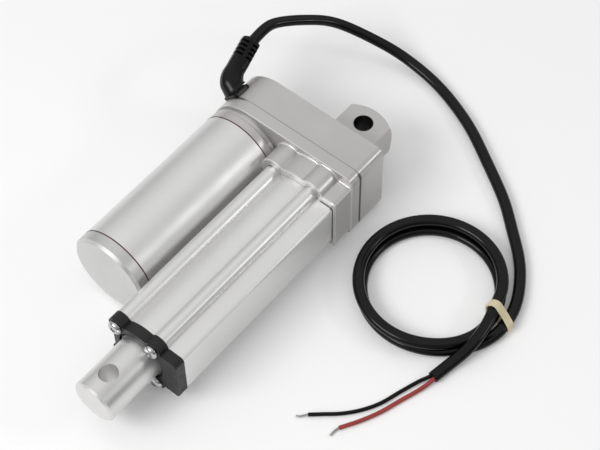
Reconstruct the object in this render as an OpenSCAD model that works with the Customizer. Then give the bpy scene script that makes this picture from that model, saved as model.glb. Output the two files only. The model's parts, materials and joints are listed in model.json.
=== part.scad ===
// Small 12 V linear actuator, 50 mm stroke, drawn retracted.
// Frame: origin at the centre of the rear eye's bore, +X along the rod towards
// the front eye, +Z up along both eye bores, motor on the -Y side.
// Lengths are in millimetres.

/* [Main sizes] */
// Stroke of the rod, 30 to 60
stroke = 50; // [30:1:60]
// Distance between the two eye bores with the rod in, 150 to 160
hole_to_hole = 155; // [150:1:160]
// Radius of both eye bores, 3.2 to 4.2
eye_bore_r = 4; // [3.2:0.1:4.2]
// Radius of the rod, 9 to 10
rod_r = 9.75; // [9:0.05:10]
// Rod beyond its cross bore, 9 to 12
rod_nose = 10; // [9:0.5:12]

/* [Gearbox] */
// Half height of the gearbox, 18 to 20
box_half = 18.6; // [18:0.1:20]
// Rear face of the gearbox, 12 to 14
box_x0 = 12.3; // [12:0.1:14]
// Depth of the rear cover, 14 to 15
cover_depth = 14.8; // [14:0.1:15]
// Front face of the gearbox, 33 to 34
box_x1 = 33.1; // [33:0.1:34]
// Wall of the gearbox, 2.4 to 3
box_wall = 2.8; // [2.4:0.1:3]
// Side of the gearbox away from the motor, 19.5 to 20.5
box_side = 20; // [19.5:0.1:20.5]
// Corner radius of the gearbox, 3 to 5
box_corner = 4; // [3:0.5:5]
// Thickness of the rear eye, 15 to 17
eye_thick = 16; // [15:0.5:17]
// Width of the rear eye, 19 to 22
eye_width = 20.5; // [19:0.5:22]
// Length of the collar round the tube, 10 to 12
collar_len = 10.8; // [10:0.1:12]
// Wall of the collar, 2.5 to 3.5
collar_wall = 3; // [2.5:0.1:3.5]

/* [Tube and front cap] */
// Outer radius of the tube's barrel, 13.6 to 14.2
barrel_r = 13.8; // [13.6:0.1:14.2]
// Bore radius of the barrel, 11.9 to 12.1
barrel_bore = 12; // [11.9:0.05:12.1]
// Rear end of the tube inside the collar, 38 to 39
tube_x0 = 38.2; // [38:0.1:39]
// Front end of the tube, 130 to 135
tube_x1 = 133.4; // [130:0.1:135]
// Thickness of the front cap, 4 to 6
cap_thick = 4.7; // [4:0.1:6]
// Outer side of the switch channel, 18.5 to 19.5
channel_side = 18.9; // [18.5:0.1:19.5]
// Half height of the switch channel's outside, 10.5 to 12
channel_half = 11.4; // [10.5:0.1:12]

/* [Motor] */
// Outer radius of the motor tube, 18 to 18.5
motor_r = 18.3; // [18:0.1:18.5]
// Rear end of the motor tube, 39.5 to 40.5
motor_x0 = 40; // [39.5:0.1:40.5]
// Front end of the motor tube, 112 to 115
motor_x1 = 113.2; // [112:0.1:115]
// Thickness of the motor's end cap, 5.5 to 6.5
end_cap_thick = 6; // [5.5:0.1:6.5]

/* [Gears and screw] */
// Teeth of the motor pinion, 10 to 14
pinion_teeth = 12; // [10:1:14]
// Teeth of the idler's wheel, 36 to 40
wheel_teeth = 38; // [36:1:40]
// Tooth module of the first pair, 0.65 to 0.75
module_1 = 0.7; // [0.65:0.05:0.75]
// Teeth of the idler's own pinion, 12 to 16
small_teeth = 14; // [12:1:16]
// Teeth of the spindle gear, 28 to 32
spindle_teeth = 30; // [28:1:32]
// Tooth module of the second pair, 0.75 to 0.85
module_2 = 0.8; // [0.75:0.05:0.85]
// Lead of the spindle's thread, 2 to 4
screw_lead = 3; // [2:0.5:4]
// Crest radius of the spindle's thread, 4.5 to 5.5
screw_r = 5; // [4.5:0.1:5.5]

/* [Cord] */
// Diameter of the cord, 4 to 5
cord_d = 4.6; // [4:0.1:5]
// Upward tilt of the plug round the motor's axis, 20 to 40 degrees
plug_tilt = 30; // [20:1:40]
// Mean radius of the coil, 27 to 31
coil_r = 29; // [27:0.5:31]

/* [Hidden] */
$fn = 48;
slack = 0.05;
cap_x1 = tube_x1 + cap_thick;
parting = box_x0 + cover_depth;
gasket = 0.4;
collar_x1 = box_x1 + collar_len;
nose_x = hole_to_hole + rod_nose;
idler_y = -module_2*(small_teeth + spindle_teeth)/2;
motor_y = idler_y - module_1*(pinion_teeth + wheel_teeth)/2;
left_boss = [-11.7, 9.5];
right_boss = [7.2, 11.5];
boss_r = 3.8;
port_r = 1.6;
floor_z = -box_half;
lay_z = floor_z + cord_d/2;
coil_c = [33.5, 62.3];
cover_posts = [[13.6, 12.4], [13.6, -12.4], [-39.7, 12.7], [-39.7, -12.7]];
socket_x = 21.5;
nut_x0 = 52;
nut_x1 = 66;
silver = [0.70, 0.70, 0.68];
bright = [0.86, 0.86, 0.85];
black = [0.06, 0.06, 0.06];
dark = [0.16, 0.15, 0.15];
steel = [0.62, 0.63, 0.65];
brass = [0.78, 0.62, 0.30];
copper = [0.72, 0.38, 0.20];
nylon = [0.92, 0.90, 0.84];

// ---- helpers ----

module along_x(x0, x1)
  translate([x0, 0, 0]) rotate([90, 0, 90]) linear_extrude(x1 - x0) children();

module rod_x(x0, x1, r, y = 0, z = 0)
  translate([x0, y, z]) rotate([0, 90, 0]) cylinder(h = x1 - x0, r = r);

module ring_x(x0, x1, r_in, r_out, y = 0, z = 0)
  difference() {
    rod_x(x0, x1, r_out, y, z);
    rod_x(x0 - 1, x1 + 1, r_in, y, z);
  }

// Box from corner to corner.
module span(a, b) translate(a) cube(b - a);

module round_rect(y0, y1, z0, z1, r) {
  translate([y0 + r, z0]) square([y1 - y0 - 2*r, z1 - z0]);
  translate([y0, z0 + r]) square([y1 - y0, z1 - z0 - 2*r]);
  for (y = [y0 + r, y1 - r], z = [z0 + r, z1 - r]) translate([y, z]) circle(r);
}

// Oblong outline of the gearbox, round at the motor end; d insets it.
module box_outline(d = 0) {
  c = box_corner - min(d, box_corner - 1.2);
  translate([motor_y, 0]) circle(box_half - d);
  translate([motor_y, d - box_half]) square([box_side - d - c - motor_y, 2*(box_half - d)]);
  translate([motor_y, c + d - box_half]) square([box_side - d - motor_y, 2*(box_half - d - c)]);
  for (s = [-1, 1]) translate([box_side - d - c, s*(box_half - d - c)]) circle(c);
}

// Outline of the tube: barrel, four screw bosses and the switch channel; d grows it.
module tube_outline(d = 0) {
  circle(barrel_r + d);
  for (s = [-1, 1]) {
    translate([left_boss[0], s*left_boss[1]]) circle(boss_r + d);
    translate([right_boss[0], s*right_boss[1]]) circle(boss_r + d);
  }
  round_rect(0, channel_side + d, -channel_half - d, channel_half + d, 1.5 + d);
}

module at_ports(r)
  for (p = [left_boss, right_boss], s = [-1, 1]) translate([p[0], s*p[1]]) circle(r);

// Angle of an involute at radius r, in degrees.
function inv(rb, r) = r <= rb ? 0 : let (t = sqrt(pow(r/rb, 2) - 1)) t*180/PI - atan(t);

// Spur gear outline with a tooth centred on the first axis; thin shaves both flanks.
module spur(m, z, add, thin) {
  rp = m*z/2;
  rb = rp*cos(20);
  ra = rp + add*m;
  rf = rp - 1.25*m;
  half = 90/z - thin/rp*180/PI + inv(rb, rp);
  radii = concat([rf], [for (k = [0:3]) max(rb, rf + 0.05) + (ra - max(rb, rf + 0.05))*k/3]);
  polygon([for (t = [0:z - 1]) each concat(
    [for (r = radii) let (a = 360*t/z - half + inv(rb, r)) [r*cos(a), r*sin(a)]],
    [for (k = [len(radii) - 1:-1:0]) let (r = radii[k], a = 360*t/z + half - inv(rb, r)) [r*cos(a), r*sin(a)]])]);
}

function unit(v) = v/norm(v);
function blend(a, b, c, d, t) = 0.5*(2*b + (c - a)*t + (2*a - 5*b + 4*c - d)*t*t + (3*b - a - 3*c + d)*t*t*t);
function smooth(P, n) = concat([for (i = [0:len(P) - 2], k = [0:n - 1])
  blend(P[max(i - 1, 0)], P[i], P[i + 1], P[min(i + 2, len(P) - 1)], k/n)], [P[len(P) - 1]]);

// Closed tube of radius r along smoothed route points; no route runs straight up.
module tube(route, r, n = 3, sides = 8) {
  Q = smooth(route, n);
  last = len(Q) - 1;
  pts = [for (i = [0:last]) let (
      t = unit(Q[min(i + 1, last)] - Q[max(i - 1, 0)]),
      s = unit(cross(t, [0, 0, 1])), u = cross(s, t))
    for (k = [0:sides - 1]) Q[i] + r*(cos(360*k/sides)*s + sin(360*k/sides)*u)];
  faces = concat(
    [[for (k = [0:sides - 1]) k]],
    [[for (k = [sides - 1:-1:0]) last*sides + k]],
    [for (i = [0:last - 1], k = [0:sides - 1]) let (a = i*sides + k, b = i*sides + (k + 1)%sides)
      each [[a, a + sides, b + sides], [a, b + sides, b]]]);
  polyhedron(points = pts, faces = faces, convexity = 8);
}

// Places its children with Z out of the round end of the gearbox at the plug.
module at_socket()
  translate([socket_x, motor_y, 0]) rotate([90 - plug_tilt, 0, 0]) children();

// ---- gearbox ----

// Die-cast rear cover with the rear eye.
module rear_cover() color(silver) difference() {
  union() {
    difference() {
      along_x(box_x0, parting) box_outline();
      along_x(box_x0 + 3.2, parting + 1) box_outline(box_wall);
    }
    for (p = cover_posts) rod_x(box_x0 + 2, parting, 3.3, p[0], p[1]);
    rod_x(box_x0 + 2, box_x0 + 4, 4, idler_y, 0);
    intersection() {
      translate([box_corner + 4.7, 0, 0]) rotate_extrude($fn = 72) polygon(concat([[0, -eye_thick/2]],
        [for (k = [-4:4]) [17 + 1.3*(1 - pow(k/4, 2)), eye_thick/8*k]], [[0, eye_thick/2]]));
      span([-12, -eye_width/2, -eye_thick/2], [box_x0 + 1, eye_width/2, eye_thick/2]);
    }
  }
  translate([0, 0, -eye_thick]) cylinder(h = 2*eye_thick, r = eye_bore_r);
  for (p = cover_posts) {
    rod_x(box_x0 - 1, parting + 1, 1.7, p[0], p[1]);
    rod_x(box_x0 - 1, box_x0 + 2.4, 3.2, p[0], p[1]);
  }
  rod_x(box_x0 + 1.2, parting, 5.02);
  rod_x(box_x0 + 1.6, box_x0 + 5, 2.02, idler_y, 0);
  at_socket() cylinder(h = 30, r = 3.6);
}

module housing_gasket() color(dark) difference() {
  along_x(parting, parting + gasket) box_outline(0.12);
  along_x(parting - 1, parting + gasket + 1) difference() {
    box_outline(box_wall);
    for (p = cover_posts) translate(p) circle(3.3);
  }
  for (p = cover_posts) rod_x(parting - 1, parting + 1, 1.7, p[0], p[1]);
}

// Front half of the gearbox with the collar and the motor's seat.
module gear_housing() color(silver) difference() {
  union() {
    difference() {
      along_x(parting + gasket, box_x1) box_outline();
      along_x(parting, box_x1 - 2.5) box_outline(box_wall);
    }
    for (p = cover_posts) rod_x(parting + gasket, box_x1 - 1, 3.3, p[0], p[1]);
    along_x(box_x1 - 1, collar_x1) intersection() {
      tube_outline(collar_wall);
      translate([-30, -30]) square([30 + box_side, 60]);
    }
    rod_x(box_x1 - 1, box_x1 + 3.1, 17, motor_y, 0);
    rod_x(box_x1 + 1.2, box_x1 + 2.8, 17.9, motor_y, 0);
  }
  along_x(tube_x0, collar_x1 + 1) tube_outline(0.1);
  rod_x(box_x1 - 1.9, tube_x0 + 1, 11.02);
  rod_x(parting, tube_x0, 8.5);
  rod_x(parting, collar_x1, 6.3, motor_y, 0);
  for (s = [-1, 1]) rod_x(parting, collar_x1, 1.7, motor_y, 9*s);
  for (p = cover_posts) rod_x(parting, box_x1 - 1.6, 1.55, p[0], p[1]);
  rod_x(parting, box_x1 - 1.2, 2.02, idler_y, 0);
  rod_x(parting, tube_x0 + 1, 2.2, 15.4, 0);
}

module pan_screw(x, y, z, head_r, head_h, shank_r, len, dir = 1)
  translate([x, y, z]) rotate([0, 90*dir, 0]) difference() {
    union() {
      cylinder(h = head_h*0.55, r = head_r);
      translate([0, 0, head_h*0.55]) cylinder(h = head_h*0.45, r1 = head_r, r2 = head_r*0.62);
      translate([0, 0, -len]) cylinder(h = len + 0.1, r = shank_r);
    }
    for (a = [0, 90]) rotate([0, 0, a]) translate([-head_r*0.52, -0.45, head_h*0.35]) cube([head_r*1.04, 0.9, head_h]);
  }

module cover_screws() color(steel)
  for (p = cover_posts) pan_screw(box_x0 + 2.4, p[0], p[1], 2.9, 2, 1.5, 16, -1);

// ---- tube, cap and rod guide ----

// Extruded tube with screw ports and a channel for the limit switches.
module outer_tube() color(bright) along_x(tube_x0, tube_x1) difference() {
  tube_outline();
  circle(barrel_bore);
  translate([10, -3.2]) square([5, 6.4]);
  translate([13.8, -9.6]) square([3.7, 19.2]);
  at_ports(port_r);
}

module front_cap() color(black) difference() {
  along_x(tube_x1, cap_x1) {
    tube_outline(0.25);
    translate([-14.1, -9.5]) square([4, 19]);
  }
  along_x(tube_x1 - 1, cap_x1 + 1) at_ports(1.75);
  rod_x(tube_x1 - 1, cap_x1 + 1, 10.4);
  rod_x(tube_x1 + 1, cap_x1 + 1, 11.3);
}

module front_cap_screws() color(steel)
  for (p = [left_boss, right_boss], s = [-1, 1])
    pan_screw(cap_x1, p[0], s*p[1], 3.2, 2.4, 1.45, 20);

module rod_wiper() color(dark) difference() {
  union() {
    rod_x(tube_x1 + 1, cap_x1 - 1.2, 11.25);
    translate([cap_x1 - 1.2, 0, 0]) rotate([0, 90, 0]) cylinder(h = 0.9, r1 = 10.8, r2 = 10.2);
  }
  rod_x(tube_x1, cap_x1 + 1, rod_r + slack);
}

module rod_bushing() color(nylon) ring_x(tube_x1 - 13, tube_x1 - 0.1, rod_r + slack, barrel_bore - 0.03);

// ---- motor ----

module motor_flange() color(silver) difference() {
  union() {
    rod_x(box_x1 + 3.1, motor_x0 - 0.3, motor_r, motor_y, 0);
    rod_x(box_x1 - 2, box_x1 + 4, 6.25, motor_y, 0);
    rod_x(motor_x0 - 1, motor_x0 + 3, motor_r - 2.1, motor_y, 0);
  }
  rod_x(box_x1 - 3, motor_x0 + 4, 3, motor_y, 0);
  rod_x(motor_x0 - 0.6, motor_x0 + 4, 5.02, motor_y, 0);
  for (s = [-1, 1]) rod_x(box_x1, motor_x0 - 0.5, 1.55, motor_y, 9*s);
}

module motor_screws() color(steel)
  for (s = [-1, 1]) pan_screw(box_x1 - 2.5, motor_y, 9*s, 2.6, 1.8, 1.5, 8.6, -1);

module motor_seals() color([0.25, 0.09, 0.07])
  for (x = [motor_x0 - 0.3, motor_x1]) ring_x(x, x + 0.3, motor_r - 2, motor_r - 0.1, motor_y, 0);

module motor_tube() color(bright) ring_x(motor_x0, motor_x1, motor_r - 2, motor_r, motor_y, 0);

module motor_end_cap() color(bright) difference() {
  union() {
    rod_x(motor_x1 + 0.3, motor_x1 + end_cap_thick - 1.2, motor_r, motor_y, 0);
    translate([motor_x1 + end_cap_thick - 1.2, motor_y, 0]) rotate([0, 90, 0])
      cylinder(h = 1.2, r1 = motor_r, r2 = motor_r - 1.2);
    rod_x(motor_x1 - 3, motor_x1 + 1, motor_r - 2.1, motor_y, 0);
  }
  rod_x(motor_x1 - 4, motor_x1 + 1.3, 5.02, motor_y, 0);
  rod_x(motor_x1 - 4, motor_x1 + 3.6, 3, motor_y, 0);
}

module motor_magnets() color([0.22, 0.22, 0.24]) difference() {
  ring_x(50, 98, 13, motor_r - 2.1, motor_y, 0);
  span([49, motor_y - 4, -20], [99, motor_y + 4, 20]);
}

module motor_bearings() color(steel)
  for (x = [motor_x0 - 0.6, motor_x1 - 2.2]) ring_x(x, x + 3.5, 2 + slack, 5, motor_y, 0);

module brush_card() color([0.45, 0.26, 0.12]) difference() {
  union() {
    ring_x(106, 108, 6.2, motor_r - 2.1, motor_y, 0);
    for (s = [-1, 1]) translate([0, motor_y, 0]) span([100.5, -3, min(5.6*s, 12*s)], [106.5, 3, max(5.6*s, 12*s)]);
  }
  for (s = [-1, 1]) translate([0, motor_y, 0]) span([101.3, -2.1, min(5*s, 11*s)], [105.7, 2.1, max(5*s, 11*s)]);
}

module brushes() color([0.12, 0.12, 0.12])
  for (s = [-1, 1]) translate([0, motor_y, 0]) span([101.5, -1.9, min(4.9*s, 10.8*s)], [105.5, 1.9, max(4.9*s, 10.8*s)]);

// ---- fixed parts of the drive ----

module spindle_bearing() color(steel) difference() {
  ring_x(box_x1 - 1.9, tube_x0, 4 + slack, 11);
  for (x = [box_x1 - 3, tube_x0 - 0.5]) ring_x(x, x + 1.6, 6.2, 9.2);
}

module bearing_retainer() color(steel) ring_x(tube_x0 + 0.02, tube_x0 + 1, 8.5, barrel_bore - 0.05);

module spindle_bush() color(brass) ring_x(box_x0 + 1.2, box_x0 + 4, 3 + slack, 5);

module idler_axle() color(steel) rod_x(box_x0 + 1.6, box_x1 - 1.3, 2, idler_y, 0);

module switch_board() color([0.10, 0.33, 0.16]) span([44, 16.3, -6], [124, 17.4, 6]);

module limit_switches() color(dark) {
  span([44.5, 14, -3.4], [52, 16.3, 3.4]);
  span([nut_x0 + stroke + 14, 14, -3.4], [nut_x0 + stroke + 21.5, 16.3, 3.4]);
}

module switch_buttons() color([0.75, 0.15, 0.12]) {
  span([52, 14.5, -1], [53.4, 15.8, 1]);
  span([nut_x0 + stroke + 12.6, 14.5, -1], [nut_x0 + stroke + 14, 15.8, 1]);
}

module power_socket() color(dark) at_socket() difference() {
  translate([-3.4, -3.4, 10.5]) cube([6.8, 6.8, 4.4]);
  for (s = [-1, 1]) translate([1.5*s, 0, 9]) cylinder(h = 8, r = 0.55);
}

module socket_pins() color(brass) at_socket()
  for (s = [-1, 1]) translate([1.5*s, 0, 9.2]) cylinder(h = 6.2, r = 0.5);

module internal_wires() {
  color([0.65, 0.08, 0.06]) tube([[41.5, 15.4, 0.9], [36, 15.6, 0.9], [31.5, 15.4, 1.2], [27, 15, 2.2],
    [25.4, 13.6, 5.2], [25.4, 10.4, 9.35], [25.4, 6, 12.8], [25.4, 0, 14.4], [25.4, -20, 14.6],
    [25.4, -30, 14.2], [24.6, -34.6, 10.4], [23.6, -38.5, 7.6], [23.3, -41.2, 7.2]], 0.55, 2, 6);
  color(black) tube([[41.5, 15.4, -0.9], [36, 15.6, -0.9], [31.5, 15.4, -0.6], [25.6, 15.2, 1.2],
    [23.6, 13.6, 5.2], [23.6, 10.4, 9.35], [23.6, 6, 12.8], [23.6, 0, 14.4], [23.6, -20, 14.6],
    [23.6, -30, 14.2], [22.4, -34.6, 10.4], [20.6, -38.5, 7.6], [19.8, -41.2, 7.2]], 0.55, 2, 6);
}

// ---- rod ----

// Hollow rod, solid at the front round the cross bore.
module piston_rod() color(bright) difference() {
  union() {
    rod_x(nut_x1, nose_x - 0.8, rod_r);
    translate([nose_x - 0.8, 0, 0]) rotate([0, 90, 0]) cylinder(h = 0.8, r1 = rod_r, r2 = rod_r - 0.8);
  }
  rod_x(nut_x1 - 1, hole_to_hole - 11, 7);
  translate([hole_to_hole, 0, -20]) cylinder(h = 40, r = eye_bore_r);
  for (s = [-1, 1]) translate([nut_x1 + 5, 0, 0]) rotate([90*s, 0, 0]) translate([0, 0, 6]) cylinder(h = 8, r = 1.02);
}

// Plastic nut that slides in the barrel and pushes the rod.
module drive_nut() color(nylon) difference() {
  union() {
    rod_x(nut_x0, nut_x1, barrel_bore - 0.08);
    rod_x(nut_x1 - 1, nut_x1 + 10, 6.98);
  }
  rod_x(nut_x0 - 1, nut_x1 + 11, screw_r + 0.06);
  for (s = [-1, 1]) translate([nut_x1 + 5, 0, 0]) rotate([90*s, 0, 0]) translate([0, 0, 5]) cylinder(h = 8, r = 1.02);
  span([nut_x0 + 2, 10.2, -2.6], [nut_x1 - 2, 14, 2.6]);
}

module nut_pins() color(steel)
  for (s = [-1, 1]) translate([nut_x1 + 5, 0, 0]) rotate([90*s, 0, 0]) translate([0, 0, 5.5]) cylinder(h = 4, r = 1);

// Key on the nut: it runs in the tube's slot and presses the limit switches.
module switch_cam() color([0.85, 0.45, 0.10]) span([nut_x0 + 2, 10.2, -2.6], [nut_x1 - 2, 15.9, 2.6]);

// ---- spindle ----

// Spindle with a trapezoidal thread, drawn as one ridge to each turn.
module lead_screw() color(steel) {
  rod_x(box_x0 + 1.6, 21.6, 3);
  rod_x(21.6, tube_x0 + 0.2, 4);
  rod_x(tube_x0 + 0.2, 40, 6);
  translate([40, 0, 0]) rotate([0, 90, 0]) rotate_extrude() polygon(concat(
    [[0, 0], [screw_r - 0.9, 0]],
    [for (k = [0:25]) each [[screw_r - 0.9, screw_lead*(k + 0.15)], [screw_r, screw_lead*(k + 0.3)],
      [screw_r, screw_lead*(k + 0.7)], [screw_r - 0.9, screw_lead*(k + 0.85)]]],
    [[0, 26*screw_lead]]));
}

module spindle_gear() color(nylon) difference() {
  along_x(22, 29) spur(module_2, spindle_teeth, 0.9, 0.05);
  rod_x(21, 30, 4.02);
  for (a = [0:60:300]) rotate([a, 0, 0]) rod_x(21, 30, 1.6, 7.6, 0);
}

module thrust_washer() color(brass) ring_x(29.1, 31.1, 4.02, 7);

// ---- idler and rotor ----

module idler_gear() color(nylon) difference() {
  translate([0, idler_y, 0]) union() {
    along_x(16.8, 20.8) spur(module_1, wheel_teeth, 0.75, 0.05);
    along_x(20.7, 29.4) rotate(180/small_teeth) spur(module_2, small_teeth, 0.95, 0.05);
  }
  rod_x(16, 30, 2 + slack, idler_y, 0);
  for (a = [30:60:330]) translate([0, idler_y, 0]) rotate([a, 0, 0]) rod_x(16, 20, 1.6, 9.4, 0);
}

module motor_shaft() color(steel) rod_x(16.4, motor_x1 + 2.8, 2, motor_y, 0);

module motor_pinion() color(brass) difference() {
  translate([0, motor_y, 0]) along_x(16.8, 21.2) rotate(180/pinion_teeth) spur(module_1, pinion_teeth, 0.95, 0.05);
  rod_x(16, 22, 2.02, motor_y, 0);
}

module armature_core() color([0.40, 0.42, 0.44]) translate([0, motor_y, 0]) along_x(54, 92) difference() {
  circle(12.5);
  circle(2.02);
  for (a = [0:60:300]) rotate(a) {
    translate([8.4, 0]) circle(2.4);
    translate([8.4, -0.6]) square([5, 1.2]);
  }
}

module armature_windings() color(copper) translate([0, motor_y, 0]) {
  for (a = [0:60:300]) rotate([a, 0, 0]) rod_x(50, 96, 2.1, 8.4, 0);
  for (x = [49.5, 92.3]) ring_x(x, x + 4.2, 4.5, 11.4);
}

module commutator() color(copper) translate([0, motor_y, 0]) difference() {
  ring_x(99.5, 107, 2.02, 4.6);
  for (a = [0:60:150]) rotate([a, 0, 0]) span([99, -0.25, -6], [105, 0.25, -3.9]);
  for (a = [0:60:150]) rotate([a, 0, 0]) span([99, -0.25, 3.9], [105, 0.25, 6]);
}

// ---- cord ----

// Moulded elbow plug with a curved foot on the round end of the gearbox.
module connector_plug() color(black) at_socket() {
  difference() {
    union() {
      cylinder(h = 22, r = 3.4);
      translate([-5.2, -5.6, 17]) cube([10.4, 11.2, 4.4]);
    }
    rotate([0, 90, 0]) cylinder(h = 30, r = box_half + 0.05, center = true, $fn = 96);
  }
  translate([0, 0, 15.6]) cylinder(h = 4, r = 3.4);
  translate([0, 0, 20]) cylinder(h = 4.6, r1 = 5.2, r2 = 4.8);
  translate([-2.2, 0, 24.2]) sphere(r = 4.8);
  translate([-2.6, 0, 24.1]) rotate([0, -73.7, 0]) {
    cylinder(h = 11, r1 = 4.8, r2 = 4);
    difference() {
      translate([-4.1, -3.3, 8.5]) cube([8.2, 6.6, 10.8]);
      for (z = [9.8, 12, 14.2, 16.4], s = [-1, 1], f = [-1, 1])
        translate([f*3.4 - 2.2, s*3.3 - 1.2, z]) cube([4.4, 2.4, 0.9]);
    }
    translate([0, 0, 6]) cylinder(h = 13.8, r = 2.9);
  }
}

cord_route = [[-0.2, -60.8, 14.9], [-7.5, -61.5, 14.7], [-15, -61.1, 13.5], [-28, -54.6, 8.8], [-40, -46.4, 2],
  [-50, -30.4, -8], [-54, -16, -14], [-52, 3, lay_z], [-43.6, 24, lay_z], [-32.3, 42.5, lay_z],
  [-20.7, 59.7, lay_z], [-10.5, 71.3, lay_z], [-0.5, 82, lay_z], [8.9, 89.3, -16.1], [19, 94.8, -15.6], [30, 97.5, -15.4]];

module cord_tube() color(black) tube(cord_route, cord_d/2, 4, 10);

// Two turns lying on each other, as one closed ring.
module cord_coil() color(black) translate([coil_c[0], coil_c[1], 0]) rotate_extrude($fn = 72) {
  for (p = [[coil_r - 1.4, -15.4], [coil_r + 1.4, -15.4], [coil_r, -13.4]]) translate(p) circle(2.3, $fn = 24);
  polygon([[coil_r - 1.4, -17.7], [coil_r + 1.4, -17.7], [coil_r + 3.3, -14.1], [coil_r, -11.3], [coil_r - 3.3, -14.1]]);
}

module cord_tail() color(black)
  tube([[22, 89, -8.7], [30, 91.2, -8.7], [38, 92, -8.9], [45, 92, -9.8], [51, 91.3, -12.3], [56, 90.2, -15], [61, 89.2, lay_z], [66.4, 88.2, lay_z]], cord_d/2, 3, 10);

module rubber_band() color([0.85, 0.79, 0.60]) translate([26.2, 0, 0]) rotate([90, 0, 90]) linear_extrude(2.8) difference() {
  round_rect(85.2, 100.6, floor_z, -5.4, 3.6);
  round_rect(86, 99.8, floor_z + 0.8, -6.2, 2.9);
}

module black_lead() color(black)
  tube([[66.6, 87, lay_z], [70.4, 84.9, -17.4], [79.2, 81.8, -17.7], [88.2, 78.9, -17.7], [95.6, 74.7, -17.7], [101.6, 69.6, -17.7], [105.6, 65, -17.7], [109.8, 60.2, -17.7]], 0.85, 3, 8);

module red_lead() color([0.62, 0.16, 0.13])
  tube([[66.6, 88.9, lay_z], [73.4, 87.3, -17.4], [82.4, 84.2, -17.7], [91.3, 81.3, -17.7], [99.2, 77.6, -17.7], [106.7, 73.2, -17.7]], 0.85, 3, 8);

module lead_tips() color(steel) {
  tube([[109.9, 60.1, -17.7], [112.3, 58.2, -17.9], [113.1, 56.8, -17.9]], 0.45, 2, 8);
  tube([[106.8, 73.1, -17.7], [109, 72.6, -17.9], [111.2, 72.4, -17.9]], 0.45, 2, 8);
}

rear_cover();
housing_gasket();
gear_housing();
cover_screws();
outer_tube();
front_cap();
front_cap_screws();
rod_wiper();
rod_bushing();
motor_flange();
motor_screws();
motor_seals();
motor_tube();
motor_end_cap();
motor_magnets();
motor_bearings();
brush_card();
brushes();
spindle_bearing();
bearing_retainer();
spindle_bush();
idler_axle();
switch_board();
limit_switches();
switch_buttons();
power_socket();
socket_pins();
internal_wires();
piston_rod();
drive_nut();
nut_pins();
switch_cam();
lead_screw();
spindle_gear();
thrust_washer();
idler_gear();
motor_shaft();
motor_pinion();
armature_core();
armature_windings();
commutator();
connector_plug();
cord_tube();
cord_coil();
cord_tail();
rubber_band();
black_lead();
red_lead();
lead_tips();
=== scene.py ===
"""Small linear actuator with its plug, cord and coil, on a pale floor.

Lengths are typed in millimetres and scaled by MM."""

import json
import math

import bmesh
import bpy
from mathutils import Matrix, Vector


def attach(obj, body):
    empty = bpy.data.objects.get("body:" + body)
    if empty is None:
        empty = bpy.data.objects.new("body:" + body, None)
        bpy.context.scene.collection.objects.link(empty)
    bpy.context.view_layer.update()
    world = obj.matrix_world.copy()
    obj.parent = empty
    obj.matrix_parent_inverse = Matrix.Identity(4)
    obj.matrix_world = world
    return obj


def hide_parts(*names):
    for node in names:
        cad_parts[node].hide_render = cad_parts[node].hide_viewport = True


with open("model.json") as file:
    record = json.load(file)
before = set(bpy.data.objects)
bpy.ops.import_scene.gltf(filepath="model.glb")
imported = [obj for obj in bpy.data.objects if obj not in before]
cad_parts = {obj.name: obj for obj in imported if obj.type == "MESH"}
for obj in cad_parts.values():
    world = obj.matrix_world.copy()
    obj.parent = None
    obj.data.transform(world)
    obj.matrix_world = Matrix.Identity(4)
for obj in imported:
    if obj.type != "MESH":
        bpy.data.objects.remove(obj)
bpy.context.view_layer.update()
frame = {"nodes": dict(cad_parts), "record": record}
MM = 0.001
FLOOR_Z = -18.6
MOTOR_Y = -35.1
BOX_HALF = 18.6  # half height of the gearbox, and radius of its motor end
BOX_SIDE = 20  # side of the gearbox away from the motor
scene = bpy.context.scene
scene.view_settings.view_transform = "Standard"


# ---- camera ----

def make_camera():
    az, el, roll = math.radians(40.37), math.radians(55.72), math.radians(-0.946)
    target, distance = Vector((52.2, 8.74, 0)) * MM, 687.8 * MM
    back = Vector((math.cos(az) * math.cos(el), math.sin(az) * math.cos(el), math.sin(el)))
    right = Vector((0, 0, 1)).cross(back).normalized()
    up = back.cross(right)
    c, s = math.cos(roll), math.sin(roll)
    right, up = right * c + up * s, up * c - right * s
    data = bpy.data.cameras.new("camera")
    data.lens, data.sensor_width = 101.6, 36
    data.clip_start, data.clip_end = 0.05, 20
    cam = bpy.data.objects.new("camera", data)
    scene.collection.objects.link(cam)
    turn = Matrix((right, up, back)).transposed().to_4x4()
    cam.matrix_world = Matrix.Translation(target + back * distance) @ turn
    scene.camera = cam


make_camera()


# ---- mesh helpers ----

def add_object(name, bm, smooth):
    """Turns a bmesh in millimetres into a named object that rides on the housing.

    Edges past smooth degrees stay sharp."""
    bmesh.ops.recalc_face_normals(bm, faces=bm.faces)
    mesh = bpy.data.meshes.new(name)
    bm.to_mesh(mesh)
    bm.free()
    mesh.transform(Matrix.Scale(MM, 4))
    for face in mesh.polygons:
        face.use_smooth = True
    mesh.set_sharp_from_angle(angle=math.radians(smooth))
    obj = bpy.data.objects.new(name, mesh)
    scene.collection.objects.link(obj)
    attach(obj, "housing")
    return obj


def catmull(points, step):
    """Points about step apart on one smooth curve through the given points."""
    P = [Vector(p) for p in points]
    P = [2 * P[0] - P[1]] + P + [2 * P[-1] - P[-2]]
    out = []
    for a, b, c, d in zip(P, P[1:], P[2:], P[3:]):
        n = max(2, round((c - b).length / step))
        for k in range(n):
            t = k / n
            square, cube = 2 * a - 5 * b + 4 * c - d, 3 * b - a - 3 * c + d
            out.append(0.5 * (2 * b + (c - a) * t + square * t * t + cube * t ** 3))
    return out + [P[-2]]


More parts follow.
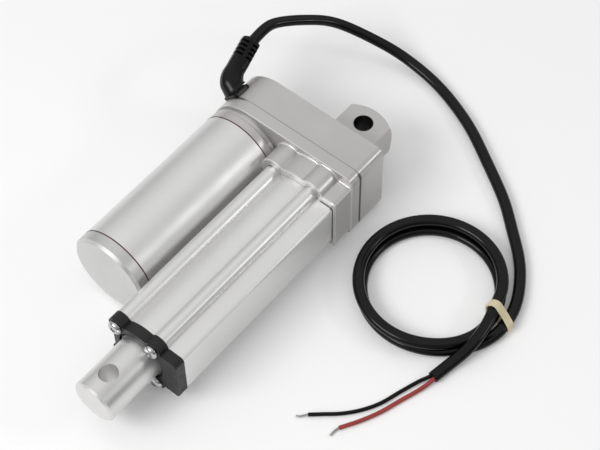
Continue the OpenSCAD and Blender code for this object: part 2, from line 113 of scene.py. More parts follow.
def relax(path, rounds, keep=2):
    """Evens out the bends of a dense path, its ends held."""
    for _ in range(rounds):
        path = [p if i < keep or i >= len(path) - keep else (path[i - 1] + 2 * p + path[i + 1]) / 4
                for i, p in enumerate(path)]
    return path


def tangents(path):
    return [(path[min(i + 1, len(path) - 1)] - path[max(i - 1, 0)]).normalized() for i in range(len(path))]


def skin(bm, a, b):
    """Joins two rings of vertices with four-sided faces."""
    n = len(a)
    for k in range(n):
        bm.faces.new((a[k], a[(k + 1) % n], b[(k + 1) % n], b[k]))


def loft(bm, rings):
    """Skins rings of equal count and caps both ends."""
    made = [[bm.verts.new(p) for p in ring] for ring in rings]
    for a, b in zip(made, made[1:]):
        skin(bm, a, b)
    bm.faces.new(made[0])
    bm.faces.new(made[-1])


def hoop(bm, rings):
    """Skins rings of equal count into a closed loop."""
    made = [[bm.verts.new(p) for p in ring] for ring in rings]
    for i, ring in enumerate(made):
        skin(bm, ring, made[(i + 1) % len(made)])


def sweep(bm, path, section):
    """Sweeps a section of (across, height) points along a path, kept level."""
    rings = []
    for p, t in zip(path, tangents(path)):
        side = t.cross(Vector((0, 0, 1))).normalized()
        top = side.cross(t)
        rings.append([p + side * x + top * y for x, y in section])
    loft(bm, rings)


def angles(n):
    return [2 * math.pi * k / n for k in range(n)]


def circle(r, n):
    return [(r * math.cos(t), r * math.sin(t)) for t in angles(n)]


# ---- cords ----

JACKET_W, JACKET_H = 2.5, 2.05  # half width and half height of the jacket
GROOVE_DEPTH, GROOVE_WIDTH = 0.24, 0.26
LAY = FLOOR_Z + JACKET_H
COIL = Vector((33.5, 62.3, 0))
COIL_R = 28.3
COIL_START, COIL_END = 46, -612  # degrees


def jacket_section():
    """Two cores side by side: an oval with a shallow groove along both flat sides."""
    out = []
    for t in angles(28):
        c, s = math.cos(t), math.sin(t)
        groove = 1 - GROOVE_DEPTH * math.exp(-(c / GROOVE_WIDTH) ** 2)
        out.append((JACKET_W * math.copysign(abs(c) ** 0.92, c), JACKET_H * s * groove))
    return out


def coil_points():
    """Two turns, clockwise from above, the second lying on the first."""
    out = []
    for a in range(COIL_START, COIL_END, -12):
        turn = (COIL_START - a) / 360
        climb = min(1, max(0, (turn - 0.86) / 0.2))
        climb = climb * climb * (3 - 2 * climb)
        tuck = max(0.0, (turn - 1.62) / 0.18)
        flare = 1.7 * math.exp(-(COIL_START - a) / 30)
        r = COIL_R + 1.4 * climb + flare - 1.1 * tuck * tuck
        t = math.radians(a)
        lift = 0.9 * math.exp(-((a + 257) / 14) ** 2) * (1 - climb)
        x, y = COIL.x - 0.55 * climb, COIL.y - 0.45 * climb
        out.append((x + r * math.cos(t), y + r * math.sin(t), LAY + 4.1 * climb + lift))
    return out


cord_route = [(-0.2, -60.8, 14.9), (-7.5, -61.5, 14.7), (-15, -61.1, 13.5), (-28, -54.6, 8.8),
              (-40, -46.4, 2), (-50, -30.4, -8), (-54, -16, -14), (-52, 3, LAY), (-43.6, 24, LAY),
              (-32.3, 42.5, LAY), (-20.7, 59.7, LAY), (-10.5, 71.3, LAY), (-0.5, 82, LAY),
              (8.9, 89.1, LAY), (19, 94.2, LAY + 0.5), (27.5, 96.1, LAY + 0.85),
              (34.5, 96.1, LAY + 0.5), (42.4, 93.6, LAY), (48.6, 89.2, LAY)]
tail_route = [(28.3, 89.7, LAY + 4.9), (34, 91.3, LAY + 4.7), (40, 92.2, LAY + 4.3), (45.5, 92.4, LAY + 3.9),
              (51, 91.6, LAY + 2.1), (55.5, 90.3, LAY + 0.6), (60.5, 89.2, LAY), (66.4, 88.2, LAY)]
jacket_path = relax(catmull(cord_route + coil_points() + tail_route, 0.9), 12)

bm = bmesh.new()
sweep(bm, jacket_path, jacket_section())
jacket = add_object("cord_jacket", bm, 60)
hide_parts("cord_tube", "cord_coil", "cord_tail")


def lead(name, route, r, node):
    path = relax(catmull(route, 0.5), 8)
    bm = bmesh.new()
    sweep(bm, path, circle(r, 14))
    obj = add_object(name, bm, 60)
    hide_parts(node)
    return obj, path


black_route = [(65.2, 87.5, LAY - 0.2), (67.6, 86.6, -16.9), (70.4, 84.9, -17.5), (79.2, 81.8, -17.75),
               (88.2, 78.9, -17.75), (95.6, 74.7, -17.75), (101.6, 69.6, -17.75), (105.6, 65, -17.75),
               (109.8, 60.2, -17.75)]
red_route = [(65.2, 88.9, LAY - 0.2), (68.4, 88.6, -16.9), (73.4, 87.3, -17.5), (82.4, 84.2, -17.72),
             (91.3, 81.3, -17.72), (99.2, 77.6, -17.72), (106.7, 73.2, -17.72)]
black_core, black_path = lead("black_core", black_route, 0.8, "black_lead")
red_core, red_path = lead("red_core", red_route, 0.87, "red_lead")


def tips():
    """Seven twisted strands out of the end of each lead."""
    black_tip = [(108.9, 61.2, -17.75), (109.9, 60.1, -17.75), (112.3, 58.2, -17.95), (113.1, 56.8, -18.05)]
    red_tip = [(105.9, 73.7, -17.75), (106.8, 73.1, -17.75), (109, 72.6, -17.95), (111.2, 72.5, -18.05)]
    bm = bmesh.new()
    for route in (black_tip, red_tip):
        path = catmull(route, 0.25)
        run = tangents(path)
        for k in range(7):
            ring = []
            for i, (p, t) in enumerate(zip(path, run)):
                side = t.cross(Vector((0, 0, 1))).normalized()
                top = side.cross(t)
                a = 2 * math.pi * k / 6 + i * 0.16
                r = 0.0 if k == 6 else 0.3
                ring.append(p + side * r * math.cos(a) + top * r * math.sin(a))
            sweep(bm, ring, circle(0.155, 6))
    obj = add_object("bare_strands", bm, 60)
    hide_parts("lead_tips")
    return obj


strands = tips()


# ---- materials ----

def material(name, low, high, rough, metallic=0.0, patch=60, bumps=(), speck=None, **sockets):
    """Principled surface with patchy colour from low to high and patchy roughness.

    A bump is (scale, stretch, strength, distance_mm); speck is (scale, cut, colour, amount)."""
    m = bpy.data.materials.new(name)
    m.use_nodes = True
    nt = m.node_tree
    nt.nodes.clear()
    new, link = nt.nodes.new, nt.links.new
    out, bsdf = new("ShaderNodeOutputMaterial"), new("ShaderNodeBsdfPrincipled")
    coord = new("ShaderNodeTexCoord")
    link(bsdf.outputs[0], out.inputs[0])
    bsdf.inputs["Metallic"].default_value = metallic
    for key, value in sockets.items():
        bsdf.inputs[key.replace("_", " ")].default_value = value

    def noise(scale, stretch=(1, 1, 1), detail=4.0):
        mapping, tex = new("ShaderNodeMapping"), new("ShaderNodeTexNoise")
        mapping.inputs["Scale"].default_value = stretch
        link(coord.outputs["Object"], mapping.inputs["Vector"])
        link(mapping.outputs[0], tex.inputs["Vector"])
        tex.inputs["Scale"].default_value = scale
        tex.inputs["Detail"].default_value = detail
        return tex.outputs["Fac"]

    def ramp(source, stops):
        node = new("ShaderNodeValToRGB")
        link(source, node.inputs[0])
        e = node.color_ramp.elements
        for s, (at, colour) in zip(e, stops):
            s.position, s.color = at, (*colour, 1)
        return node.outputs[0]

    colour = ramp(noise(patch), [(0.3, low), (0.7, high)])
    if speck:
        scale, cut, dark, amount = speck
        mix = new("ShaderNodeMix")
        mix.data_type = "RGBA"
        link(ramp(noise(scale, detail=2), [(cut, (0, 0, 0)), (cut + 0.12, (amount,) * 3)]), mix.inputs[0])
        link(colour, mix.inputs[6])
        mix.inputs[7].default_value = (*dark, 1)
        colour = mix.outputs[2]
    link(colour, bsdf.inputs["Base Color"])
    rough_map = new("ShaderNodeMapRange")
    link(noise(patch * 3.1), rough_map.inputs[0])
    rough_map.inputs[1].default_value, rough_map.inputs[2].default_value = 0.3, 0.7
    rough_map.inputs[3].default_value, rough_map.inputs[4].default_value = rough
    link(rough_map.outputs[0], bsdf.inputs["Roughness"])
    last = None
    for scale, stretch, strength, distance in bumps:
        height = noise(scale, stretch)
        bump = new("ShaderNodeBump")
        bump.inputs["Strength"].default_value = strength
        bump.inputs["Distance"].default_value = distance * MM
        link(height, bump.inputs["Height"])
        if last:
            link(last, bump.inputs["Normal"])
        last = bump.outputs[0]
    if last:
        link(last, bsdf.inputs["Normal"])
    return m


def grey(v, warm=0.0):
    return (v * (1 + warm), v, v * (1 - warm))


ALONG, AROUND, EVEN = (0.01, 1, 1), (1, 0.02, 0.02), (1, 1, 1)
M = {
    "cast": material("cast_paint", grey(0.49, 0.02), grey(0.54, 0.02), (0.30, 0.39), 0.55, 45,
                     [(900, EVEN, 0.35, 0.05), (4200, EVEN, 0.3, 0.02)], (5200, 0.60, grey(0.62), 0.4)),
    "gasket": material("gasket_sheet", grey(0.03), grey(0.14), (0.6, 0.75), 0, 200,
                       [(3000, EVEN, 0.3, 0.02)]),
    "steel": material("machined_steel", grey(0.50, -0.01), grey(0.60, -0.01), (0.22, 0.34), 1, 120,
                      [(2600, AROUND, 0.25, 0.01)]),
    "anodised": material("anodised_tube", grey(0.76, 0.006), grey(0.80, 0.006), (0.38, 0.44), 0.9, 25,
                         [(2400, ALONG, 0.06, 0.012), (6000, EVEN, 0.06, 0.006)]),
    "cap": material("cap_plastic", grey(0.010), grey(0.018), (0.38, 0.5), 0, 120,
                    [(5200, EVEN, 0.35, 0.02)], None, Specular_IOR_Level=0.3),
    "chrome": material("plated_screw", grey(0.50), grey(0.60), (0.16, 0.26), 1, 300,
                       [(1500, EVEN, 0.1, 0.01)]),
    "rubber": material("wiper_rubber", grey(0.03), grey(0.05), (0.3, 0.4), 0, 200, [(3000, EVEN, 0.3, 0.02)]),
    "nylon": material("natural_acetal", (0.74, 0.71, 0.62), (0.82, 0.79, 0.70), (0.38, 0.5), 0, 90,
                      [(2500, EVEN, 0.15, 0.01)], None, Subsurface_Weight=0.05),
    "seal": material("seal_rubber", (0.045, 0.010, 0.007), (0.08, 0.016, 0.012), (0.5, 0.65), 0, 300,
                     [(2500, EVEN, 0.2, 0.01)]),
    "motor_skin": material("motor_anodised", grey(0.76, 0.006), grey(0.80, 0.006), (0.40, 0.46), 0.9, 22,
                           [(1900, AROUND, 0.14, 0.012), (6000, EVEN, 0.12, 0.006)]),
    "magnet": material("sintered_magnet", grey(0.05), grey(0.09), (0.45, 0.6), 0.7, 150,
                       [(2600, EVEN, 0.4, 0.03)]),
    "phenolic": material("laminate_card", (0.13, 0.05, 0.02), (0.20, 0.085, 0.035), (0.45, 0.6), 0, 120,
                         [(2600, (0.1, 1, 1), 0.3, 0.02)]),
    "carbon": material("graphite_brush", grey(0.02), grey(0.045), (0.4, 0.55), 0.3, 400,
                       [(4000, EVEN, 0.3, 0.02)]),
    "brass": material("turned_brass", (0.58, 0.40, 0.13), (0.70, 0.50, 0.19), (0.24, 0.36), 1, 150,
                      [(2600, AROUND, 0.25, 0.01)]),
    "board": material("circuit_board", (0.012, 0.09, 0.035), (0.02, 0.14, 0.05), (0.3, 0.42), 0, 120,
                      [(900, (1, 1, 1), 0.2, 0.02)], (900, 0.62, (0.05, 0.22, 0.09), 0.6)),
    "switch_body": material("switch_housing", grey(0.02), grey(0.03), (0.4, 0.5), 0, 200,
                            [(3800, EVEN, 0.25, 0.02)]),
    "switch_button": material("switch_plunger", (0.42, 0.03, 0.02), (0.52, 0.045, 0.03), (0.35, 0.45), 0, 200,
                              [(3800, EVEN, 0.2, 0.01)]),
    "rod": material("rod_anodised", grey(0.72, 0.008), grey(0.77, 0.008), (0.34, 0.42), 0.9, 40,
                    [(2600, AROUND, 0.18, 0.012), (5200, EVEN, 0.14, 0.008)]),
    "cam": material("cam_plastic", (0.60, 0.22, 0.03), (0.70, 0.28, 0.04), (0.35, 0.45), 0, 160,
                    [(3000, EVEN, 0.2, 0.01)]),
    "lamination": material("stacked_laminations", grey(0.20, -0.02), grey(0.30, -0.02), (0.35, 0.5), 0.9, 140,
                           [(2400, (1, 0.01, 0.01), 0.8, 0.06)]),
    "copper": material("enamelled_copper", (0.42, 0.13, 0.045), (0.62, 0.22, 0.08), (0.25, 0.38), 0.9, 260,
                       [(2200, (0.02, 1, 1), 0.6, 0.06)]),
    "plug": material("plug_pvc", grey(0.002), grey(0.004), (0.2, 0.28), 0, 90,
                     [(1500, EVEN, 0.06, 0.03), (5200, EVEN, 0.10, 0.01)], None, Specular_IOR_Level=0.24),
    "jacket": material("cord_pvc", grey(0.0015), grey(0.003), (0.15, 0.23), 0, 110,
                       [(700, EVEN, 0.05, 0.05), (4200, EVEN, 0.08, 0.01)], None, Specular_IOR_Level=0.24),
    "band": material("natural_rubber", (0.60, 0.50, 0.29), (0.76, 0.67, 0.44), (0.5, 0.62), 0, 220,
                     [(1800, EVEN, 0.35, 0.03)], None, Subsurface_Weight=0.12),
    "lead_black": material("black_insulation", grey(0.002), grey(0.004), (0.3, 0.4), 0, 200,
                           [(3000, EVEN, 0.2, 0.01)],
                           None, Specular_IOR_Level=0.2),
    "lead_red": material("red_insulation", (0.27, 0.03, 0.026), (0.35, 0.045, 0.038), (0.3, 0.4), 0, 160,
                         [(3000, EVEN, 0.2, 0.01)]),
    "tinned": material("tinned_copper", grey(0.42, 0.05), grey(0.58, 0.05), (0.28, 0.42), 1, 600,
                       [(3000, EVEN, 0.3, 0.01)]),
}

slots = {row["node"]: row["material_slot"] for row in frame["record"]["subparts"]}
for node, obj in frame["nodes"].items():
    obj.data.materials.clear()
    obj.data.materials.append(M[slots[node]])


def zone(m, masks, colour, amount=1.0):
    """Another colour where every mask is on; used here for painted shade and painted light.

    A mask is (axes, off, on): the length of the frame position over the axes, in mm."""
    nt = m.node_tree
    new, link = nt.nodes.new, nt.links.new
    bsdf = nt.nodes["Principled BSDF"]
    source = bsdf.inputs["Base Color"].links[0].from_socket
    coord, mix = new("ShaderNodeTexCoord"), new("ShaderNodeMix")
    factor = None
    for axes, off, on in masks:
        kinds = ("VectorMath", "VectorMath", "MapRange", "Math")
        cut, size, fade, times = (new("ShaderNode" + k) for k in kinds)
        cut.operation, size.operation, times.operation = "MULTIPLY", "LENGTH", "MULTIPLY"
        cut.inputs[1].default_value = axes
        link(coord.outputs["Object"], cut.inputs[0])
        link(cut.outputs[0], size.inputs[0])
        link(size.outputs["Value"], fade.inputs[0])
        low, high = (0, 1) if on > off else (1, 0)
        for k, v in enumerate((min(off, on) * MM, max(off, on) * MM, low, high)):
            fade.inputs[k + 1].default_value = v
        link(fade.outputs[0], times.inputs[0])
        if factor:
            link(factor, times.inputs[1])
        else:
            times.inputs[1].default_value = amount
        factor = times.outputs[0]
    mix.data_type = "RGBA"
    link(factor, mix.inputs[0])
    link(source, mix.inputs[6])
    mix.inputs[7].default_value = (*colour, 1)
    link(mix.outputs[2], bsdf.inputs["Base Color"])
    return m


# Painted highlight: a lighter copy of the cast paint for the edge beads, standing in for the bright light on
# rounded edges.
highlight_paint = material("cast_edge_highlight", grey(0.70, 0.01), grey(0.78, 0.01), (0.30, 0.38), 0.6, 45,
                      [(900, EVEN, 0.2, 0.04)])
X, XY, Y, Z = (1, 0, 0), (1, 1, 0), (0, 1, 0), (0, 0, 1)
# Painted shade: the eye's bore is painted near black, and dark bands are painted on the sides of the cover
# and the gear housing beside their seam.
cover_paint_shaded = zone(M["cast"].copy(), [(XY, 4.35, 4.1)], grey(0.012))
zone(cover_paint_shaded, [(X, 26.5, 26.75), (Z, 17.9, 16.9)], grey(0.03), 0.8)
front_paint_shaded = zone(M["cast"].copy(), [(X, 28.1, 27.85), (Z, 17.9, 16.9)], grey(0.03), 0.8)
# Painted shadow: a dark band on the tube's sides just in front of the collar.
tube_skin_shaded = zone(M["anodised"].copy(), [(X, 44.45, 44.2), (Y, 12, 13)], grey(0.03), 0.85)
# Painted light: the gasket is painted lighter near the top and bottom faces, so the seam reads faint where
# light falls on the top.
zone(M["gasket"], [(Z, 17.4, 18.1)], grey(0.34), 0.85)
frame["nodes"]["rear_cover"].data.materials[0] = cover_paint_shaded
frame["nodes"]["gear_housing"].data.materials[0] = front_paint_shaded
frame["nodes"]["outer_tube"].data.materials[0] = tube_skin_shaded
# Painted shade: a darker copy of the motor's anodising that tones down the end cap's face.
end_skin_shaded = material("end_cap_anodised_shaded", grey(0.62, 0.006), grey(0.67, 0.006), (0.40, 0.48), 0.9, 30,
                    [(1900, AROUND, 0.10, 0.012), (6000, EVEN, 0.12, 0.006)])
frame["nodes"]["motor_end_cap"].data.materials[0] = end_skin_shaded


def dress(obj, slot_name):
    obj.data.materials.clear()
    obj.data.materials.append(M[slot_name])
    return obj


for obj, slot_name in ((jacket, "jacket"), (black_core, "lead_black"), (red_core, "lead_red"),
                       (strands, "tinned")):
    dress(obj, slot_name)


# ---- moulded plug ----

def superellipse(a, b, power, n):
    out = []
    for t in angles(n):
        c, s = math.cos(t), math.sin(t)
        r = (abs(c / a) ** power + abs(s / b) ** power) ** (-1 / power)
        out.append((r * c, r * s))
    return out


def plug():
    """Curved foot, round neck, elbow, and a flat grip with four slots on both sides of a round spine."""
    n = 48
    bm = bmesh.new()
    # foot: a plate bent round the end of the gearbox, local Z outwards
    half_x, half_a, r_in, r_out, foot_x = 4.35, math.radians(15.0), 18.65, 19.9, 2.4
    rings = []
    lean = math.radians(13)
    layers = ((-0.25, r_in, False), (0, r_in + 0.35, False), (0, r_out - 0.4, True), (-0.4, r_out, True))
    for grow, r, flat in layers:
        ring = []
        for u, v in superellipse(half_x + grow, half_a * BOX_HALF + grow, 12, n):
            a = lean + v / BOX_HALF
            if flat:
                y, z = r * math.sin(lean) + v * math.cos(lean), r * math.cos(lean) - v * math.sin(lean)
            else:
                y, z = r * math.sin(a), r * math.cos(a)
            ring.append(Vector((u + foot_x, y, z)))
        rings.append(ring)
    loft(bm, rings)
    # neck, elbow and grip along one bent line in the local XZ plane
    grip_tilt = math.radians(-73.7)
    out_dir = Vector((math.sin(grip_tilt), 0, math.cos(grip_tilt)))
    across = Vector((0, 1, 0))
    corner = Vector((-2.0, 0, 24.6))
    neck_radii = (5.8, 5.3, 5.15, 5.1)
    line = [Vector((0.2 - 0.25 * (z - 19.2), 0, z)) for z in (19.2, 20.0, 20.8, 21.5)]
    start, end = Vector((-0.45, 0, 21.8)), corner + out_dir * 4.4
    for k in range(1, 14):
        t = k / 14
        line.append(start * (1 - t) ** 2 + corner * (2 * t * (1 - t)) + end * t * t)
    total = 15.6
    grooves = [(6.1 + 2.2 * k, 7.0 + 2.2 * k) for k in range(4)]
    marks = {0, 1.4, 2.8, 4.2, 14.6, 15.1, total - 0.25, total - 0.05, total}
    for a, b in grooves:
        marks |= {a - 0.12, a + 0.12, (a + b) / 2, b - 0.12, b + 0.12}
    run = sorted(marks)
    line += [end + out_dir * s for s in run]
    rings = []
    first = len(line) - len(run)
    for i, p in enumerate(line):
        if i < len(neck_radii):
            t = Vector((0, 0, 1))
        elif i >= first:
            t = out_dir
        else:
            t = (line[i + 1] - line[i - 1]).normalized()
        flat = across.cross(t).normalized()
        s = run[i - first] if i >= first else 0
        if i < len(neck_radii):
            shape = circle(neck_radii[i], n)
        elif i < first:
            w = (i - len(neck_radii)) / (first - len(neck_radii))
            shape = superellipse(5.05 - 0.85 * w * w, 5.05 - 1.55 * w, 2 + 0.9 * w, n)
        else:
            w = min(1, s / 5)
            a, b = 4.2 - 0.05 * w, 3.5 - 0.15 * w
            full = superellipse(a, b, 2.9 + 1.3 * w, n)
            cut = superellipse(a - 0.8, b - 1.15, 4, n)
            shape = full
            if any(g0 < s < g1 for g0, g1 in grooves):
                shape = [q if abs(q[0]) < 1.3 or abs(q[1]) < 0.8 else z for q, z in zip(full, cut)]
            shrink = {total - 0.25: 0.96, total - 0.05: 0.9, total: 0.82}.get(s, 1)
            shape = [(x * shrink, y * shrink) for x, y in shape]
        rings.append([p + flat * x + across * y for x, y in shape])
    loft(bm, rings)
    # collar where the cord leaves
    tip, flat = end + out_dir * total, across.cross(out_dir).normalized()
    loft(bm, [[tip + out_dir * d + flat * x + across * y for x, y in superellipse(a, b, 2, n)]
              for d, a, b in ((-0.6, 3.0, 2.75), (0.5, 2.95, 2.6), (0.95, 2.8, 2.4))])
    place = Matrix.Translation((21.5, MOTOR_Y, 0)) @ Matrix.Rotation(math.radians(60), 4, "X")
    bm.transform(place)
    obj = add_object("elbow_plug", bm, 42)
    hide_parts("connector_plug")
    return dress(obj, "plug")


plug_body = plug()


# ---- tie ----

def tie_band():
    """Stretched loop round the two lower strands and the one on top of them."""
    centres = ((90.1, LAY + 0.9), (96.1, LAY + 0.85), (89.6, LAY + 4.95))
    gap = 0.06
    cloud = sorted((y + (JACKET_W + gap) * math.cos(a), z + (JACKET_H + gap) * math.sin(a))
                   for y, z in centres for a in angles(40))

    def turns_back(o, a, b):
        return (a[0] - o[0]) * (b[1] - o[1]) - (a[1] - o[1]) * (b[0] - o[0]) <= 0

    def half_hull(points):
        out = []
        for p in points:
            while len(out) > 1 and turns_back(out[-2], out[-1], p):
                out.pop()
            out.append(p)
        return out[:-1]

    hull = half_hull(cloud) + half_hull(cloud[::-1])
    dense = []
    for (y0, z0), (y1, z1) in zip(hull, hull[1:] + hull[:1]):
        m = max(1, round(math.hypot(y1 - y0, z1 - z0) / 0.4))
        dense += [(y0 + (y1 - y0) * k / m, z0 + (z1 - z0) * k / m) for k in range(m)]
    n = len(dense)
    bm = bmesh.new()
    rings = []
    profile = [(-1.7, 0.12), (-1.6, 0), (1.6, 0), (1.7, 0.12), (1.7, 0.62), (1.55, 0.8), (0.8, 0.72),
               (0, 0.78), (-0.8, 0.7), (-1.55, 0.8), (-1.7, 0.62)]
    for i, (y, z) in enumerate(dense):
        (ya, za), (yb, zb) = dense[i - 1], dense[(i + 1) % n]
        ty, tz = yb - ya, zb - za
        size = math.hypot(ty, tz)
        ny, nz = tz / size, -ty / size
        wave = 0.12 * math.sin(5 * math.pi * i / n)
        x0 = 27.9 + 0.24 * (y - 93.5) + 0.12 * max(0, 91 - y) ** 2 + wave
        rings.append([(x0 + a, y + ny * b, max(FLOOR_Z + 0.02, z + nz * b)) for a, b in profile])
    hoop(bm, rings)
    obj = add_object("tie_band", bm, 50)
    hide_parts("rubber_band")
    return dress(obj, "band")


band = tie_band()


# ---- screws ----

def pan_screw(bm, x, y, z, r, h, facing, turn):
    """Domed pan head with a cross recess; facing is 1 towards the front."""
    head = bmesh.new()
    dome = ((0.94, 0), (1, 0.16), (0.985, 0.42), (0.90, 0.68), (0.74, 0.86), (0.5, 0.97), (0.2, 1))
    loft(head, [[Vector((h * d, y, z)) for y, z in circle(r * a, 40)] for a, d in dome])
    body = add_raw(head)
    cuts = []
    for a in (0, 90):
        tool = bmesh.new()
        q = Matrix.Rotation(math.radians(a + turn), 4, "X")
        w0, w1, l0, l1 = r * 0.085, r * 0.15, r * 0.28, r * 0.56
        corners = ((-1, -1), (1, -1), (1, 1), (-1, 1))
        loft(tool, [[q @ Vector((d, s * long, t * wide)) for s, t in corners]
                    for d, long, wide in ((h * 0.35, l0, w0), (h * 1.3, l1, w1))])
        cuts.append(add_raw(tool))
    carve(body, cuts)
    turned = Matrix.Identity(4) if facing > 0 else Matrix.Rotation(math.pi, 4, "Z")
    body.data.transform(Matrix.Translation((x, y, z)) @ turned)
    bm.from_mesh(body.data)
    drop(body)


def add_raw(bm):
    bmesh.ops.recalc_face_normals(bm, faces=bm.faces)
    mesh = bpy.data.meshes.new("raw")
    bm.to_mesh(mesh)
    bm.free()
    obj = bpy.data.objects.new("raw", mesh)
    scene.collection.objects.link(obj)
    return obj


def drop(obj):
    mesh = obj.data
    bpy.data.objects.remove(obj)
    bpy.data.meshes.remove(mesh)


def carve(obj, tools):
    """Cuts each tool out of the object and removes the tools."""
    for tool in tools:
        mod = obj.modifiers.new("cut", "BOOLEAN")
        mod.operation, mod.object, mod.solver = "DIFFERENCE", tool, "EXACT"
        dg = bpy.context.evaluated_depsgraph_get()
        mesh = bpy.data.meshes.new_from_object(obj.evaluated_get(dg))
        obj.modifiers.clear()
        old = obj.data
        obj.data = mesh
        bpy.data.meshes.remove(old)
        drop(tool)


def screw_set(name, places, r, h, facing, node, slot_name, shank_r, shank):
    bm = bmesh.new()
    for k, (x, y, z) in enumerate(places):
        pan_screw(bm, x, y, z, r, h, facing, 17 + 31 * k)
        rings = []
        for d, rr in ((0.05, shank_r), (-shank + 0.6, shank_r), (-shank, shank_r - 0.5)):
            rings.append([(x + facing * d, y + v, z + w) for v, w in circle(rr, 24)])
        loft(bm, rings)
    obj = add_object(name, bm, 40)
    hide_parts(node)
    return dress(obj, slot_name)


CAP_FACE, COVER_FACE = 138.1, 14.7
BOSSES = ((-11.7, 9.5), (-11.7, -9.5), (7.2, 11.5), (7.2, -11.5))
COVER_HOLES = ((13.6, 12.4), (13.6, -12.4), (-39.7, 12.7), (-39.7, -12.7))
screw_set("cap_pan_screws", [(CAP_FACE, y, z) for y, z in BOSSES],
          3.15, 2.3, 1, "front_cap_screws", "chrome", 1.45, 20)
screw_set("cover_pan_screws", [(COVER_FACE, y, z) for y, z in COVER_HOLES],
          2.85, 2.0, -1, "cover_screws", "steel", 1.5, 16)


# ---- motor seals ----

def seal_rings():
    """Two O-ring edges just proud of the motor's skin."""
    profile = ((-0.2, 16.4), (0.2, 16.4), (0.28, 18.3), (0.2, 18.38), (-0.2, 18.38), (-0.28, 18.3))
    bm = bmesh.new()
    for x in (39.85, 113.35):
        hoop(bm, [[(x + d, MOTOR_Y + r * math.cos(t), r * math.sin(t)) for d, r in profile]
                  for t in angles(128)])
    obj = add_object("seal_rings", bm, 40)
    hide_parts("motor_seals")
    return dress(obj, "seal")


seal_rings()


# ---- beads: a dark bead painted in as the shadow in the gap between collar and tube, and beads painted light as highlights on the edges of the collar and the gearbox ----

TUBE_R, BOSS_R, CHANNEL_SIDE, CHANNEL_HALF = 13.8, 3.8, 18.9, 11.4
BEAD_REACH = 18.12  # highest and lowest place of a bead's centre line, so that it clears the floor


def tube_edge(u, grow):
    """Distance from the axis to the tube's outline in the direction u, grown by grow mm."""
    reach = TUBE_R + grow
    for c in BOSSES:
        along = c[0] * u[0] + c[1] * u[1]
        root = (BOSS_R + grow) ** 2 - (c[0] ** 2 + c[1] ** 2 - along ** 2)
        if root > 0:
            reach = max(reach, along + math.sqrt(root))
    if u[0] > 0.01:
        side, half = CHANNEL_SIDE + grow, CHANNEL_HALF + grow
        reach = max(reach, ((u[0] / side) ** 24 + (abs(u[1]) / half) ** 24) ** (-1 / 24))
    return reach


def bead(bm, loop, x, r):
    """Closed bead of radius r along a loop of (y, z) points in the plane x."""
    rings = []
    for i, (y, z) in enumerate(loop):
        (ya, za), (yb, zb) = loop[i - 1], loop[(i + 1) % len(loop)]
        size = math.hypot(yb - ya, zb - za)
        ny, nz = (zb - za) / size, (ya - yb) / size
        rings.append([(x + d, y + ny * out, z + nz * out) for d, out in circle(r, 10)])
    hoop(bm, rings)


def tube_loop(grow, side=99.0):
    """Tube outline grown by grow mm, cut off at y = side and kept above the floor."""
    out = []
    for t in angles(360):
        u = (math.cos(t), math.sin(t))
        reach = tube_edge(u, grow)
        if u[0] * reach > side:
            reach = side / u[0]
        out.append((u[0] * reach, max(-BEAD_REACH, min(BEAD_REACH, u[1] * reach))))
    return out


def box_loop(inset):
    """Oblong outline of the gearbox, inset by inset mm."""
    half, side, corner = BOX_HALF - inset, BOX_SIDE - inset, 4 - inset

    def arc(y, z, r, start, sweep_angle, steps):
        turns = [math.radians(start + sweep_angle * k / steps) for k in range(steps + 1)]
        return [(y + r * math.cos(t), z + r * math.sin(t)) for t in turns]

    return (arc(MOTOR_Y, 0, half, 90, 180, 60) + arc(side - corner, corner - half, corner, -90, 90, 12)
            + arc(side - corner, half - corner, corner, 0, 90, 12))


def beads(name, rows, slot_name, look):
    bm = bmesh.new()
    for loop, x, r in rows:
        bead(bm, loop, x, r)
    obj = dress(add_object(name, bm, 60), slot_name)
    obj.data.materials[0] = look
    return obj


# Painted shadow: a dark rubber-coloured bead fills the gap between the collar and the tube, where there is
# only shade.
beads("collar_gap_shade_bead", [(tube_loop(0.15), 43.3, 0.3)], "rubber", M["rubber"])
# Painted highlights: beads coloured lighter than the casting along the collar's rims and the gearbox's front
# edge.
beads("collar_edge_beads", [(tube_loop(2.6, 19.6), 43.45, 0.5), (tube_loop(3.15, 19.7), 33.25, 0.42)],
      "cast", highlight_paint)
beads("flange_edge_bead", [(box_loop(0.45), 32.62, 0.5)], "cast", highlight_paint)


# ---- softened edges on the castings, tube, cap and rod ----

def soften(node, width, angle=30):
    obj = frame["nodes"][node]
    flat = obj.modifiers.new("flat", "DECIMATE")
    flat.decimate_type, flat.angle_limit = "DISSOLVE", math.radians(0.4)
    round_ = obj.modifiers.new("round", "BEVEL")
    round_.width, round_.segments = width * MM, 3
    round_.limit_method, round_.angle_limit = "ANGLE", math.radians(angle)
    round_.use_clamp_overlap = False
    round_.harden_normals = True


for node, width in (("rear_cover", 0.9), ("gear_housing", 0.6), ("front_cap", 0.4), ("piston_rod", 0.3),
                    ("motor_end_cap", 0.4), ("motor_flange", 0.3)):
    soften(node, width)
soften("outer_tube", 0.25, 55)


# ---- floor and light ----

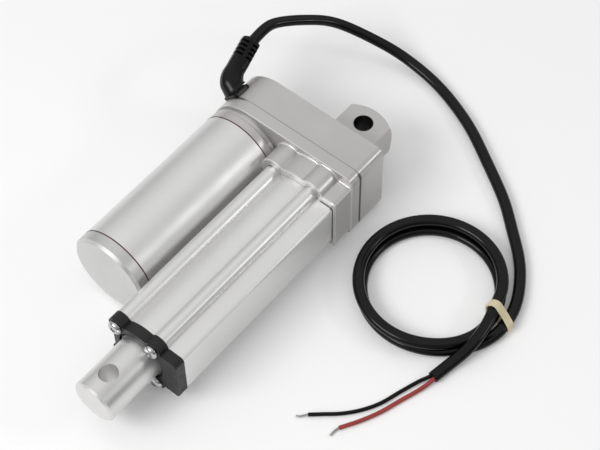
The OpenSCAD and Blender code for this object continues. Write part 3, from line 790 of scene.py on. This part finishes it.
def make_stage():
    bm = bmesh.new()
    bmesh.ops.create_grid(bm, x_segments=2, y_segments=2, size=3)
    mesh = bpy.data.meshes.new("floor")
    bm.to_mesh(mesh)
    bm.free()
    floor = bpy.data.objects.new("floor", mesh)
    floor.location = (0.05, 0, FLOOR_Z * MM - 0.0001)
    scene.collection.objects.link(floor)
    m = bpy.data.materials.new("pale_floor")
    m.use_nodes = True
    b = m.node_tree.nodes["Principled BSDF"]
    b.inputs["Base Color"].default_value = (0.86, 0.86, 0.86, 1)
    b.inputs["Roughness"].default_value = 0.7
    b.inputs["Emission Color"].default_value = (1, 1, 1, 1)
    b.inputs["Emission Strength"].default_value = 0.08
    mesh.materials.append(m)
    world = bpy.data.worlds.new("studio")
    scene.world = world
    world.use_nodes = True
    nt = world.node_tree
    coord, split, ramp = (nt.nodes.new("ShaderNode" + k) for k in ("TexCoord", "SeparateXYZ", "ValToRGB"))
    nt.links.new(coord.outputs["Generated"], split.inputs[0])
    nt.links.new(split.outputs["Z"], ramp.inputs[0])
    e = ramp.color_ramp.elements
    e[0].position, e[0].color = 0.0, (0.12, 0.12, 0.12, 1)
    e[1].position, e[1].color = 0.85, (1, 1, 1, 1)
    mid = e.new(0.3)
    mid.color = (0.66, 0.66, 0.66, 1)
    bg = nt.nodes["Background"]
    nt.links.new(ramp.outputs[0], bg.inputs[0])
    side = nt.nodes.new("ShaderNodeMapRange")
    for k, v in enumerate((0, 1, 0.85, 0.3)):
        side.inputs[k + 1].default_value = v
    nt.links.new(split.outputs["Y"], side.inputs[0])
    nt.links.new(side.outputs[0], bg.inputs[1])
    for name, place, size, power in (
            ("strip", (-0.50, 0.86, 0.58), (0.3, 0.12), 1.3),
            ("key", (0.95, -0.3, 0.85), (0.7, 0.5), 8)):
        data = bpy.data.lights.new(name, "AREA")
        data.shape, data.size, data.size_y, data.energy = "RECTANGLE", *size, power
        light = bpy.data.objects.new(name, data)
        light.location = place
        aim = Vector((0.05, 0, 0)) - Vector(place)
        light.rotation_euler = aim.to_track_quat("-Z", "Y").to_euler()
        scene.collection.objects.link(light)


make_stage()
